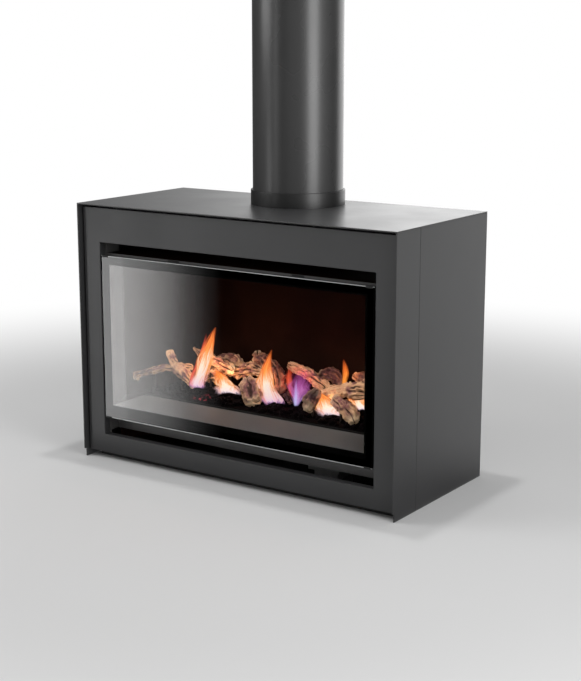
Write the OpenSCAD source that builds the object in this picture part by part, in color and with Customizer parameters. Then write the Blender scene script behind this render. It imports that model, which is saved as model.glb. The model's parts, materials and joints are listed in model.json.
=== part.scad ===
// Freestanding gas log firebox with a twin-skin flue. Millimetres, +Z up, front towards -Y.
// The origin is the middle of the casing's footprint, on the surface that it stands on.

/* [Casing] */
// Width over the two side panels
casing_w = 835; // [820:1:900]
// Depth over the two side panels
casing_d = 385; // [380:1:430]
// Height of the top panel above the hearth
casing_h = 595; // [590:1:680]
// Sheet thickness of the side and top panels
casing_sheet = 3; // [2:0.5:4]
// Depth of the front strip of each side, up to the vertical seam
strip_d = 93.5; // [70:0.5:110]
// Open seam between the front strip and the rear side panel
seam = 0.6; // [0.4:0.1:1.5]
// Width of the turned-in edge along the seam
seam_flange = 12; // [8:1:16]
// Depth of the corner notch at the foot of each front strip
notch_d = 6.5; // [4:0.5:12]
// Height of that notch
notch_h = 19; // [10:1:30]
// Distance of the back panel from the rear edge of the sides
back_inset = 3; // [3:0.5:6]

/* [Base] */
// Height of the recessed plinth frame
plinth_h = 20; // [16:1:40]
// Distance of the plinth behind the front edge of the sides
plinth_inset = 40.5; // [30:0.5:60]
// Distance of the plinth from the side panels
plinth_side_inset = 14.5; // [10:0.5:40]
// Width of the plinth's two flanges
plinth_flange = 20; // [15:1:30]
// Sheet thickness of the plinth and of the base pan
base_sheet = 2; // [1.5:0.5:3]
// Diameter of the holes that fix the plinth to the hearth
fixing_hole = 7; // [5:0.5:9]

/* [Fascia] */
// Distance of the fascia behind the front edge of the sides
fascia_recess = 13; // [8:0.5:20]
// Sheet thickness of the fascia
fascia_sheet = 3; // [2:0.5:4]
// Shadow gap between the fascia and each side
fascia_side_gap = 4.5; // [2:0.5:8]
// Height of the fascia's lower edge
fascia_low = 16; // [12:1:19]
// Shadow gap under the top panel
fascia_top_gap = 5.5; // [3:0.5:8]
// Width of the casing and fascia beside the opening
side_band = 54.5; // [50:0.5:70]
// Height of the opening's lower edge
opening_low = 60; // [55:1:66]
// Height of the casing and fascia above the opening
top_band = 87; // [80:1:100]
// Thickness of the returned edges
fascia_lip_t = 2; // [1:0.5:3]

/* [Window] */
// Gap between the glass and the opening's sides
glass_side_gap = 4; // [3:0.5:8]
// Gap below the glass
lower_slot = 41.5; // [38:0.5:46]
// Gap above the glass
upper_slot = 29.5; // [22:0.5:36]
// Thickness of the ceramic glass
glass_t = 4; // [3:0.5:5]
// Depth of the steel frame behind the glass
frame_d = 12; // [10:0.5:14]
// Sheet thickness of that frame
frame_sheet = 2; // [1:0.5:2.5]
// Depth that the frame stands clear of the front plate, where the gasket is nipped
gasket_nip = 2.2; // [1.5:0.1:3]
// Width of the rope gasket
gasket_w = 8; // [6:0.5:8.5]
// Radius of the pins that the window tilts on
pin_r = 2; // [1.5:0.1:2.5]
// Clearance round a running pin
run_gap = 0.3; // [0.2:0.05:0.5]
// Distance of the recessed bar's lower edge below the glass
bar_drop = 35.5; // [30:0.5:37]
// Depth of the recess under the glass, from the front plate back to that bar
inlet_d = 28; // [20:1:34]
// Depth of the cheeks beside the slot above the glass
outlet_d = 44; // [30:1:50]
// Width of each post of the front plate
post_w = 24; // [20:0.5:28]

/* [Firebox] */
// Distance of the throat just behind the glass inside the opening
throat_inset = 22; // [21:1:36]
// Amount by which each jamb flares outwards behind the throat
jamb_flare = 43; // [20:1:50]
// Depth of the flared jambs
jamb_d = 79; // [60:1:90]
// Amount by which each end of the back wall lies inside the throat
back_taper = 30; // [10:1:40]
// Depth of the air duct between the back wall and the back panel
duct_d = 86.5; // [85:0.5:95]
// Height of the firebox floor
floor_z = 130; // [126:1:135]
// Distance of the firebox ceiling's underside below the glass's upper edge
ceiling_drop = 2.5; // [1:0.5:8]
// Sheet thickness of the firebox
box_sheet = 1.5; // [1:0.1:2]
// Thickness of the front plate that carries the window
plate_t = 3; // [2:0.5:4]
// Plan depth of the sloping ledge in front of the burner
ledge_run = 65; // [50:1:75]
// Plan depth of the sloping ledge at each end of the burner
ledge_end_run = 38; // [30:1:50]
// Height that the ledge gains towards the burner
ledge_rise = 16; // [10:0.5:18]

/* [Burner] */
// Space for the pilot between the burner tray and the back wall
pilot_space = 38; // [34:1:50]
// Height that the tray's rim stands above the ledge
rim_h = 4; // [2:0.5:6]
// Radius of the burner tube
tube_r = 9; // [7:0.5:9.5]
// Spacing of the two burner tube runs
tube_pitch = 84; // [70:1:100]
// Thickness of the ember board
ember_t = 3; // [2:0.5:4]
// Radius of the pins that hold the logs up
log_pin_r = 2.5; // [2:0.5:4]

/* [Flue] */
// Outer radius of the outer flue pipe
flue_r = 101.5; // [100:0.5:105]
// Wall of the outer flue pipe
flue_wall = 1.2; // [0.8:0.1:2]
// Inner radius of the inner flue pipe
inner_r = 75; // [70:0.5:76]
// Wall of the inner flue pipe
inner_wall = 1; // [0.6:0.1:1.5]
// Length of the flue pipe above the top panel
flue_l = 600; // [500:10:1200]
// Distance of the flue's axis in front of the rear edge of the sides
flue_back = 110.5; // [108:0.5:125]
// Length of the reduced end that takes the next pipe
swage_l = 40; // [30:1:60]
// Height of the collar at the foot of the pipe
collar_h = 33; // [20:1:45]
// Thickness of that collar
collar_t = 3.2; // [2:0.1:5]
// Space between the flue box and the top of the casing
flue_box_gap = 39; // [34:1:50]

/* [Fan] */
// Radius of the crossflow fan rotor
rotor_r = 28; // [22:0.5:30]
// Length of the rotor
rotor_l = 220; // [160:1:224]
// Number of blades
blades = 18; // [12:1:24]
// Radius of the fan shaft
shaft_r = 4; // [3:0.5:5]

/* [Gas and electrics] */
// Radius of the gas pipe
gas_pipe_r = 5; // [4:0.5:6]
// Outer radius of the half inch male thread of the gas inlet
inlet_r = 10.48; // [10.48:0.01:10.48]
// Length of that thread
inlet_l = 15; // [12:1:16]
// Length of the isolation tap's lever
lever_l = 42; // [35:1:45]
// Tilt of the rocker switch to each side
rocker_tilt = 7; // [5:0.5:9]

/* [Hidden] */
$fn = 96;

// Small amount by which a cutter passes the face that it cuts
over = 1;
// Gap between pieces that are seated but not welded
seat = 0.3;
// Gap round the firebox throat inside the window frame and the front plate
throat_gap = 2;

// Casing planes
half_w = casing_w / 2;
opening_high = casing_h - top_band;
glass_low = opening_low + lower_slot;
glass_high = opening_high - upper_slot;
inner_w = half_w - casing_sheet;
front_y = -casing_d / 2;
rear_y = casing_d / 2;
top_low = casing_h - casing_sheet;
seam_y = front_y + strip_d;
pan_top = plinth_h + base_sheet;
panel_back = rear_y - back_inset;
panel_front = panel_back - casing_sheet;

// Fascia and window planes
fascia_y = front_y + fascia_recess;
fascia_back = fascia_y + fascia_sheet;
fascia_half = inner_w - fascia_side_gap;
fascia_high = top_low - fascia_top_gap;
open_half = half_w - side_band;
glass_half = open_half - glass_side_gap;
glass_back = fascia_y + glass_t;
frame_half = glass_half - 1;
frame_edge = 1.2;
frame_flange = 15;
frame_low = glass_low + frame_edge;
frame_high = glass_high - frame_edge;
frame_back = glass_back + frame_d;
throat_half = open_half - throat_inset;
frame_open = throat_half + throat_gap;
frame_open_low = floor_z - 12;
frame_open_high = frame_high - frame_flange;
plate_y = frame_back + gasket_nip;
plate_back = plate_y + plate_t;
inlet_half = open_half - 2;
plate_half = inlet_half + post_w;
pin_y = frame_back - 3;
pin_z = frame_low + 3.8;

// Firebox planes
nose_y = glass_back + 2.5;
weld_y = plate_back + box_sheet;
jamb_y = plate_back + jamb_d;
wide_half = throat_half + jamb_flare;
back_half = throat_half - back_taper;
back_wall_y = panel_front - duct_d;
ceiling_z = glass_high - ceiling_drop;
box_outline = [[throat_half, nose_y], [throat_half, weld_y], [wide_half, jamb_y], [back_half, back_wall_y]];
ledge_y = nose_y + 1;
ledge_half = throat_half - 2;
tray_y = ledge_y + ledge_run + 1;
tray_half = ledge_half - ledge_end_run - 1;
tray_back = back_wall_y - pilot_space;
tray_d = tray_back - tray_y;
tube_mid = tray_y + tray_d / 2;
rim_z = floor_z + ledge_rise + box_sheet + rim_h;
tray_floor = floor_z + box_sheet;
tube_z = tray_floor + tube_r + seat;
ember_z = tube_z + tube_r + seat;
ember_top = ember_z + ember_t;

// Flue planes
flue_y = rear_y - flue_back;
flue_top = casing_h + flue_l;
spigot_r = inner_r + inner_wall + seat;
ceiling_top = ceiling_z + 2;
flue_box_top = casing_h - flue_box_gap;
flue_hole_r = inner_r + inner_wall + 14;

// Fan, gas and power positions
fan_y = panel_front - 61.5;
fan_z = pan_top + rotor_r + 18;
gas_x = back_half - 111;
gas_z = pan_top + 40;
tap_l = 30;
tap_y = panel_back - 69.5;
valve_y = tap_y - 120;
lever_y = tap_y + tap_l / 2;
venturi_x = back_half - 131;
venturi_low = 96;
power_x = 36 - back_half;
power_z = pan_top + 38;
rocker_x = power_x + 25;
rocker_y = panel_back - 4;

steel_black = [0.2, 0.2, 0.2];
steel_dark = [0.1, 0.1, 0.1];
steel_grey = [0.45, 0.44, 0.43];
zinc = [0.62, 0.63, 0.65];
brass = [0.72, 0.58, 0.3];
wood_tan = [0.62, 0.5, 0.4];
wood_dark = [0.25, 0.2, 0.19];

// Lengths of driftwood as [x, y, z, radius] along the middle of each log
twig = [[-351, -74, 172, 5], [-342, -68, 182, 7], [-313, -55, 191, 7.5], [-279, -28, 202, 8]];
bend = [[-280, -40, 241, 8], [-273, -44, 221, 12], [-258, -48, 197, 14], [-232, -54, 184, 15],
    [-198, -60, 175, 14]];
fork = [[-253, 20, 239, 6], [-228, 12, 229, 9], [-192, 4, 220, 10], [-141, -6, 205, 11]];
centre = [[-230, 40, 217, 9], [-185, 32, 227, 13], [-150, 24, 222, 14], [-97, 14, 213, 16],
    [-40, 6, 205, 14]];
stub = [[-74, -42, 201, 14], [-39, -56, 188, 16], [-6, -68, 175, 14], [12, -76, 165, 9]];
upright = [[-56, 6, 259, 10], [-32, 0, 252, 13], [-4, -12, 228, 14], [22, -26, 202, 14],
    [41, -38, 182, 12]];
charred = [[-34, 36, 233, 10], [7, 20, 205, 12], [59, -8, 173, 11]];
rear = [[10, 30, 233, 8], [52, 22, 224, 11], [96, 14, 207, 13], [142, 6, 192, 13]];
top = [[92, 44, 226, 12], [116, 40, 221, 15], [154, 36, 202, 13]];
knot = [[134, -32, 206, 12], [184, -36, 215, 16], [222, -40, 219, 16], [261, -46, 210, 14],
    [306, -52, 204, 10]];
front = [[181, -62, 200, 10], [218, -74, 190, 15], [252, -84, 177, 17], [277, -90, 167, 10]];
cone = [[120, -60, 214, 9], [132, -66, 198, 15], [144, -72, 182, 13], [157, -76, 171, 7]];
end = [[178, 22, 234, 9], [206, 18, 227, 12], [245, 14, 218, 13], [277, 10, 208, 9]];
// Half width, half depth, middle and height of the ember board that the logs were laid out on
layout_half = 300;
layout_half_d = 84;
layout_mid = -22;
layout_top = 153.1;
function laid(log) = [for (p = log)
    [p[0] * tray_half / layout_half, tube_mid + (p[1] - layout_mid) * tray_d / 2 / layout_half_d,
        p[2] + ember_top - layout_top, p[3]]];
LOGS = [for (log = [twig, bend, fork, centre, stub, upright, charred, rear, top, knot, front, cone, end])
    laid(log)];
// Point of each log that its locating pin goes into
PIN_AT = [2, 3, 2, 2, 2, 3, 1, 2, 1, 2, 1, 2, 2];
log_sides = 12;
log_steps = 3;

function unit(v) = v / norm(v);
function xyz(p) = [p[0], p[1], p[2]];
function last(v) = v[len(v) - 1];

// Catmull-Rom curve through the points of a log, radius included
function curve(p) = [
    for (i = [0 : len(p) - 2], k = [0 : log_steps - 1])
        let (
            a = p[max(i - 1, 0)],
            b = p[i],
            c = p[i + 1],
            d = p[min(i + 2, len(p) - 1)],
            t = k / log_steps
        )
        0.5 * (2 * b + (c - a) * t + (2 * a - 5 * b + 4 * c - d) * t * t
            + (3 * b - a - 3 * c + d) * t * t * t),
    last(p)
];
function heading(p, i) = unit(xyz(p[min(i + 1, len(p) - 1)]) - xyz(p[max(i - 1, 0)]));
function girth(i, angle) = 1 + 0.09 * sin(3 * angle + 55 * i) + 0.05 * sin(2 * angle - 70 * i);
function taper(i, count) = i == 0 || i == count - 1 ? 0.62 : 1;
function ring(p, i, grow) =
    let (
        ahead = heading(p, i),
        side = unit(cross(ahead, [0, 0, 1])),
        up = cross(side, ahead)
    )
    [for (k = [0 : log_sides - 1])
        let (angle = 360 * k / log_sides, r = (p[i][3] + grow) * girth(i, angle) * taper(i, len(p)))
        xyz(p[i]) + r * (cos(angle) * side + sin(angle) * up)];

module log(points, grow = 0) {
    path = curve(points);
    rings = len(path);
    vertices = [for (i = [0 : rings - 1]) each ring(path, i, grow)];
    walls = [for (i = [0 : rings - 2], k = [0 : log_sides - 1])
        let (a = i * log_sides + k, b = i * log_sides + (k + 1) % log_sides)
        each [[a, b, b + log_sides], [a, b + log_sides, a + log_sides]]];
    start = [for (k = [log_sides - 1 : -1 : 0]) k];
    finish = [for (k = [0 : log_sides - 1]) (rings - 1) * log_sides + k];
    polyhedron(vertices, concat(walls, [start, finish]));
}

// A log with the hole for its locating pin
module pinned_log(index) {
    difference() {
        log(LOGS[index]);
        log_pin(index, seat);
    }
}

// Each pin stands on the ember board, or on the ledge where a log lies outside the tray
function pin_base(x) = abs(x) < tray_half ? ember_top
    : floor_z + box_sheet + ledge_rise * (ledge_half - abs(x) + log_pin_r) / ledge_end_run;

module log_pin(index, gap = 0) {
    p = LOGS[index][PIN_AT[index]];
    low = pin_base(p[0]);
    translate([p[0], p[1], low])
        cylinder(r = log_pin_r + gap, h = p[2] - low + gap, $fn = 24);
}

// Outline of a bent sheet: the path and the same path pushed out by the thickness
function across(a, b) = let (d = unit(b - a)) [d[1], -d[0]];
function pushed(p, i, t) =
    i == 0 ? p[0] + t * across(p[0], p[1])
    : i == len(p) - 1 ? p[i] + t * across(p[i - 1], p[i])
    : let (m = across(p[i - 1], p[i]), n = across(p[i], p[i + 1])) p[i] + t * (m + n) / (1 + m * n);
function bent_sheet(p, t) = concat(p, [for (i = [len(p) - 1 : -1 : 0]) pushed(p, i, t)]);
function mirrored(p) = [for (i = [len(p) - 1 : -1 : 0]) [-p[i][0], p[i][1]]];

// Block between two opposite corners
module block(low, high) {
    translate(low) cube(high - low);
}

// Block that is repeated on the left and right
module pair(low, high) {
    block(low, high);
    mirror([1, 0, 0]) block(low, high);
}

module rod(from, length, r, axis, sides = 48) {
    translate(from)
        rotate(axis == "x" ? [0, 90, 0] : axis == "y" ? [-90, 0, 0] : [0, 0, 0])
            cylinder(r = r, h = length, $fn = sides);
}

module tube(r_out, r_in, low, high) {
    rotate_extrude()
        translate([r_in, low]) square([r_out - r_in, high - low]);
}

// Upright rectangular ring between two planes of depth
module frame_ring(y0, y1, half, low, high, in_half, in_low, in_high) {
    difference() {
        block([-half, y0, low], [half, y1, high]);
        block([-in_half, y0 - over, in_low], [in_half, y1 + over, in_high]);
    }
}

module top_panel() {
    color(steel_black) difference() {
        block([-half_w, front_y, top_low], [half_w, rear_y, casing_h]);
        rod([0, flue_y, top_low - over], casing_sheet + 2 * over, flue_hole_r, "z", 96);
    }
}

// Front strip of one side, with its foot notch and the edge turned in along the seam
module side_front() {
    difference() {
        union() {
            block([inner_w, front_y, 0], [half_w, seam_y - seam / 2, top_low]);
            block([inner_w - seam_flange, seam_y - seam / 2 - casing_sheet, pan_top],
                [inner_w + over, seam_y - seam / 2, top_low]);
        }
        block([inner_w - over, front_y - over, -over], [half_w + over, front_y + notch_d, notch_h]);
    }
}

// Rear panel of one side, with its front edge turned in against the strip
module side_panel() {
    block([inner_w, seam_y + seam / 2, 0], [half_w, rear_y, top_low]);
    block([inner_w - seam_flange, seam_y + seam / 2, pan_top],
        [inner_w + over, seam_y + seam / 2 + casing_sheet, top_low]);
}

module side_front_left() {
    color(steel_black) mirror([1, 0, 0]) side_front();
}

module side_front_right() {
    color(steel_black) side_front();
}

module side_panel_left() {
    color(steel_black) mirror([1, 0, 0]) side_panel();
}

module side_panel_right() {
    color(steel_black) side_panel();
}

// Back panel screws: along both upright edges and the lower edge
screw_r = 2;
screw_edge = 8;
screw_rows = 4;
screw_span = top_low - pan_top - 60;
screw_places = concat(
    [for (s = [-1, 1], i = [0 : screw_rows - 1])
        [s * (inner_w - screw_edge), pan_top + 38 + i * screw_span / (screw_rows - 1)]],
    [for (x = [-160, 0, 120]) [x, pan_top + screw_edge]]);
vent_w = 50;
vent_h = 4;
vent_pitch = 62;
vent_rows = [pan_top + 98, pan_top + 110, top_low - 72, top_low - 60];
gas_cut = 60;
power_cut_w = 74;
power_cut_h = 34;

module back_panel() {
    color(steel_black) difference() {
        block([-inner_w + seat, panel_front, pan_top], [inner_w - seat, panel_back, top_low]);
        for (p = screw_places) rod([p[0], panel_front - over, p[1]], casing_sheet + 2 * over,
            screw_r + seat, "y", 24);
        for (i = [-4 : 4], z = vent_rows)
            block([i * vent_pitch - vent_w / 2, panel_front - over, z],
                [i * vent_pitch + vent_w / 2, panel_back + over, z + vent_h]);
        block([gas_x - gas_cut / 2, panel_front - over, gas_z - gas_cut / 2],
            [gas_x + gas_cut / 2, panel_back + over, gas_z + gas_cut / 2]);
        block([power_x - power_cut_w / 2, panel_front - over, power_z - power_cut_h / 2],
            [power_x + power_cut_w / 2, panel_back + over, power_z + power_cut_h / 2]);
    }
}

module panel_screws() {
    color(zinc) for (p = screw_places) {
        rod([p[0], panel_back, p[1]], 2, 4, "y", 24);
        rod([p[0], panel_front - 5, p[1]], casing_sheet + 5 + 0.5, screw_r, "y", 24);
    }
}

plinth_half = inner_w - plinth_side_inset;
plinth_y = front_y + plinth_inset;
plinth_back = panel_back - 7.5;
fixing_x = plinth_half - plinth_flange / 2;
fixing_y = [plinth_y + plinth_flange / 2, plinth_back - plinth_flange / 2];

module fixing_holes(low, high) {
    for (s = [-1, 1], y = fixing_y)
        rod([s * fixing_x, y, low], high - low, fixing_hole / 2, "z", 32);
}

// Folded channel frame, open towards the inside
module base_plinth() {
    color(steel_dark) difference() {
        block([-plinth_half, plinth_y, 0], [plinth_half, plinth_back, plinth_h]);
        block([-plinth_half + plinth_flange, plinth_y + plinth_flange, -over],
            [plinth_half - plinth_flange, plinth_back - plinth_flange, plinth_h + over]);
        block([-plinth_half + base_sheet, plinth_y + base_sheet, base_sheet],
            [plinth_half - base_sheet, plinth_back - base_sheet, plinth_h - base_sheet]);
        fixing_holes(-over, plinth_h + over);
    }
}

module base_pan() {
    color(steel_dark) difference() {
        block([-inner_w + seat, plate_y, plinth_h], [inner_w - seat, panel_front, pan_top]);
        fixing_holes(plinth_h - over, pan_top + over);
    }
}

module fascia() {
    lip_y = plate_y - seat;
    color(steel_black) {
        frame_ring(fascia_y, fascia_back, fascia_half, fascia_low, fascia_high,
            open_half, opening_low, opening_high);
        frame_ring(fascia_back - over, lip_y, open_half + fascia_lip_t,
            opening_low - fascia_lip_t, opening_high + fascia_lip_t,
            open_half, opening_low, opening_high);
        frame_ring(fascia_back - over, lip_y, fascia_half, fascia_low, fascia_high,
            fascia_half - fascia_lip_t, fascia_low + fascia_lip_t, fascia_high - fascia_lip_t);
    }
}

hook_x = open_half + fascia_lip_t + 10;
hook_t = 2;
hook_h = 20;
hook_l = 26;
hook_z = [pan_top + 8, fascia_high - 49];

// Four tongues behind the fascia that push into slots of the front plate
module fascia_hooks() {
    color(zinc) for (z = hook_z) {
        pair([hook_x - hook_t / 2, fascia_back, z], [hook_x + hook_t / 2, fascia_back + hook_l, z + hook_h]);
        pair([hook_x, fascia_back, z], [hook_x + 12, fascia_back + hook_t, z + hook_h]);
    }
}

rail_high = opening_low - fascia_lip_t - 1;
inlet_high = glass_low - 5;
bar_low = glass_low - bar_drop;
bar_y = plate_y + inlet_d;
upper_open_low = glass_high + 3.5;
upper_open_high = top_low - 17;

// Front plate: the folded sheet that carries the window, the firebox and the fascia. Under the glass
// it is set back to a bar that air passes below, and cheeks run back beside the slot over the glass
module front_plate() {
    color(steel_grey) difference() {
        union() {
            block([-plate_half, plate_y, pan_top], [plate_half, plate_back, top_low]);
            block([-inlet_half - plate_t, plate_y, bar_low],
                [inlet_half + plate_t, bar_y + plate_t, inlet_high + plate_t]);
            pair([inlet_half, plate_y, upper_open_low],
                [inlet_half + plate_t, plate_y + outlet_d, upper_open_high]);
        }
        block([-inlet_half, plate_y - over, rail_high], [inlet_half, bar_y, inlet_high]);
        block([-inlet_half, plate_y - over, upper_open_low],
            [inlet_half, plate_back + over, upper_open_high]);
        block([-frame_open - throat_gap, plate_y - over, frame_open_low + throat_gap],
            [frame_open + throat_gap, plate_back + over, frame_open_high + throat_gap]);
        for (z = hook_z) pair([hook_x - hook_t / 2 - seat, plate_y - over, z - seat],
            [hook_x + hook_t / 2 + seat, plate_back + over, z + hook_h + 2]);
        for (s = [-1, 1]) rod([s * (plate_half - 11), plate_y - over, glass_high + 17],
            plate_t + 2 * over, 2, "y", 24);
    }
}

// Two hooked brackets at the foot of the front plate that the window's pins drop into
module window_seats() {
    seat_x = frame_half + 0.6;
    color(zinc) for (s = [0, 1]) mirror([s, 0, 0]) difference() {
        block([seat_x, pin_y - 6, pin_z - 8], [seat_x + 1.8, plate_y, pin_z + 8]);
        rod([seat_x - over, pin_y, pin_z], 4, pin_r + run_gap, "x");
        block([seat_x - over, pin_y - pin_r - run_gap, pin_z],
            [seat_x + 3, pin_y + pin_r + run_gap, pin_z + 9]);
    }
}

spring_x = 150;
spring_w = 30;
spring_l = 12;
spring_t = 1;

// Two leaf springs on the front plate that press on the top of the window frame
module window_springs() {
    low = frame_high + seat;
    color(zinc) {
        pair([spring_x, plate_y - spring_l, low], [spring_x + spring_w, plate_y, low + spring_t]);
        pair([spring_x, plate_y - spring_t, low], [spring_x + spring_w, plate_y, upper_open_low - 0.2]);
    }
}

module window_glass() {
    color([0.06, 0.06, 0.07, 0.4])
        block([-glass_half, fascia_y, glass_low], [glass_half, glass_back, glass_high]);
}

// Steel angle ring behind the edge of the glass
module window_frame() {
    color(steel_dark) {
        frame_ring(glass_back, glass_back + frame_sheet, frame_half, frame_low, frame_high,
            frame_open, frame_open_low, frame_open_high);
        frame_ring(glass_back, frame_back, frame_half, frame_low, frame_high,
            frame_half - frame_sheet, frame_low + frame_sheet, frame_high - frame_sheet);
    }
}

module window_gasket() {
    g_half = frame_half - frame_sheet - seat;
    g_low = frame_low + frame_sheet + seat;
    g_high = frame_high - frame_sheet - seat;
    color([0.5, 0.49, 0.46])
        frame_ring(glass_back + frame_sheet, plate_y - seat, g_half, g_low, g_high,
            g_half - gasket_w, g_low + gasket_w, g_high - gasket_w);
}

clip_w = 16;
clip_t = 1;
clip_x = glass_half - 3 - clip_w;

// Corner clips that grip the upper and lower edges of the glass
module glass_clips() {
    color(zinc) for (up = [0, 1]) {
        edge = up == 1 ? glass_high : glass_low - clip_t;
        lip = up == 1 ? glass_high - 3 : glass_low - clip_t;
        tab = up == 1 ? frame_high : glass_low - clip_t;
        tab_h = frame_low - glass_low + clip_t;
        pair([clip_x, fascia_y - clip_t, edge], [clip_x + clip_w, glass_back + 5, edge + clip_t]);
        pair([clip_x, fascia_y - clip_t, lip], [clip_x + clip_w, fascia_y, lip + 3 + clip_t]);
        pair([clip_x, glass_back, tab], [clip_x + clip_w, glass_back + 5, tab + tab_h]);
    }
}

// Stub pins welded to the outside of the window frame
module window_pins() {
    color(zinc) for (s = [0, 1]) mirror([s, 0, 0]) rod([frame_half, pin_y, pin_z], 3, pin_r, "x");
}

module firebox_back() {
    color(steel_dark)
        block([-back_half, back_wall_y, floor_z - 2], [back_half, back_wall_y + box_sheet, ceiling_z]);
}

// Bent side wall: a short throat, a flared jamb and a wall that narrows to the back
module firebox_side() {
    throat_low = frame_open_low + throat_gap;
    throat_high = frame_open_high - 0.5;
    color(steel_dark) {
        difference() {
            translate([0, 0, pan_top]) linear_extrude(ceiling_z - pan_top)
                polygon(bent_sheet(box_outline, box_sheet));
            block([0, nose_y - over, pan_top - over], [half_w, plate_back, throat_low]);
            block([0, nose_y - over, throat_high], [half_w, plate_back, ceiling_z + over]);
            block([0, nose_y - over, pan_top - over],
                [half_w, bar_y + plate_t + seat, inlet_high + plate_t + seat]);
        }
        block([throat_half + box_sheet / 2, plate_back, floor_z],
            [throat_half + 11, weld_y, frame_open_high]);
    }
}

module firebox_side_left() {
    mirror([1, 0, 0]) firebox_side();
}

module firebox_side_right() {
    firebox_side();
}

// Plan of the space between the side walls
module box_plan() {
    polygon(concat(box_outline, mirrored(box_outline)));
}

outlet_w = 160;
outlet_y = [back_wall_y - 70, back_wall_y - 8];

module firebox_ceiling() {
    outer = [for (i = [1 : 3]) pushed(box_outline, i, box_sheet)];
    color(steel_dark) translate([0, 0, ceiling_z]) difference() {
        linear_extrude(ceiling_top - ceiling_z) polygon(concat(outer, mirrored(outer)));
        block([-outlet_w / 2, outlet_y[0], -over], [outlet_w / 2, outlet_y[1], 2 + over]);
    }
}

module firebox_floor() {
    color(steel_dark) difference() {
        translate([0, 0, floor_z - 2]) linear_extrude(2) box_plan();
        rod([venturi_x, tube_rows[0], floor_z - 2 - over], 2 + 2 * over, tube_r + 1, "z");
    }
}

// Sloping sheet that rises from the throat to the burner, before its ends are mitred
module ledge_slope(length, run) {
    rotate([90, 0, 90]) linear_extrude(length)
        polygon([[0, 0], [run, ledge_rise], [run, ledge_rise + box_sheet], [0, box_sheet]]);
}

module ledge_front() {
    color(steel_grey) intersection() {
        translate([-ledge_half, ledge_y, floor_z]) ledge_slope(2 * ledge_half, ledge_run);
        translate([0, 0, floor_z]) linear_extrude(ledge_rise + box_sheet + over)
            polygon([[-ledge_half, ledge_y], [ledge_half, ledge_y],
                [ledge_half - ledge_end_run, ledge_y + ledge_run],
                [-ledge_half + ledge_end_run, ledge_y + ledge_run]]);
    }
}

mitre_gap = 0.4;

module ledge_side() {
    color(steel_grey) intersection() {
        translate([ledge_half, ledge_y, floor_z]) rotate([0, 0, 90])
            ledge_slope(tray_back - ledge_y, ledge_end_run);
        translate([0, 0, floor_z]) linear_extrude(ledge_rise + box_sheet + over)
            polygon([[ledge_half, ledge_y + mitre_gap], [ledge_half, tray_back],
                [ledge_half - ledge_end_run, tray_back],
                [ledge_half - ledge_end_run, ledge_y + ledge_run + mitre_gap]]);
        translate([-seat, 0, floor_z]) linear_extrude(ledge_rise + box_sheet + over) box_plan();
    }
}

module ledge_left() {
    mirror([1, 0, 0]) ledge_side();
}

module ledge_right() {
    ledge_side();
}

shield_inset = 54.5;
shield_gap = 25;
shield_half = inner_w - shield_inset;
shield_y = fan_y + shield_gap;
shield_low = floor_z + 10;
shield_high = ceiling_z - 6;

// Tray-shaped shield between the firebox and the back panel
module heat_shield() {
    color(zinc) {
        block([-shield_half, shield_y, shield_low], [shield_half, shield_y + box_sheet, shield_high]);
        pair([shield_half - box_sheet, shield_y, shield_low], [shield_half, panel_front, shield_high]);
    }
}

flue_box_half = 120;
flue_box_front = 26;

module flue_box() {
    y0 = outlet_y[0] - flue_box_front;
    y1 = flue_y + spigot_r + 5;
    color(steel_dark) {
        difference() {
            block([-flue_box_half, y0, ceiling_top], [flue_box_half, y1, flue_box_top]);
            block([-flue_box_half + box_sheet, y0 + box_sheet, ceiling_top + box_sheet],
                [flue_box_half - box_sheet, y1 - box_sheet, flue_box_top - box_sheet]);
            block([-outlet_w / 2, outlet_y[0], ceiling_top - over],
                [outlet_w / 2, outlet_y[1], ceiling_top + 2 * over]);
            rod([0, flue_y, flue_box_top - 2 * over], 3 * over, spigot_r, "z", 96);
        }
        translate([0, flue_y, 0])
            tube(spigot_r + box_sheet, spigot_r, flue_box_top - box_sheet, flue_box_top + 30);
    }
}

module inner_flue() {
    color(zinc) translate([0, flue_y, 0])
        tube(inner_r + inner_wall, inner_r, flue_box_top - box_sheet, flue_top);
}

// Outer pipe, stepped in at its upper end so that the next pipe slides over it
module flue_casing() {
    step = 1.5;
    inside = flue_r - flue_wall;
    swage_z = flue_top - swage_l;
    color(steel_black) translate([0, flue_y, 0]) rotate_extrude()
        polygon([[inside, casing_h], [flue_r, casing_h], [flue_r, swage_z - step], [flue_r - step, swage_z],
            [flue_r - step, flue_top], [inside - step, flue_top], [inside - step, swage_z],
            [inside, swage_z - step]]);
}

module flue_collar() {
    r_in = flue_r + seat;
    r_out = r_in + collar_t;
    bead = 3;
    color(steel_black) translate([0, flue_y, casing_h]) rotate_extrude()
        polygon([[r_in, 0], [r_out + 1, 0], [r_out + 1, bead], [r_out, bead + 1],
            [r_out, collar_h - bead - 1], [r_out + 0.8, collar_h - bead], [r_out + 0.8, collar_h],
            [r_in, collar_h]]);
}

module burner_tray() {
    wall = box_sheet;
    color(steel_dark) difference() {
        block([-tray_half, tray_y, floor_z], [tray_half, tray_back, rim_z]);
        block([-tray_half + wall, tray_y + wall, tray_floor],
            [tray_half - wall, tray_back - wall, rim_z + over]);
        rod([venturi_x, tube_rows[0], floor_z - over], 2 * over + wall, tube_r + 1, "z");
    }
}

tube_rows = [tube_mid - tube_pitch / 2, tube_mid + tube_pitch / 2];
tube_half = tray_half - 40;

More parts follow.
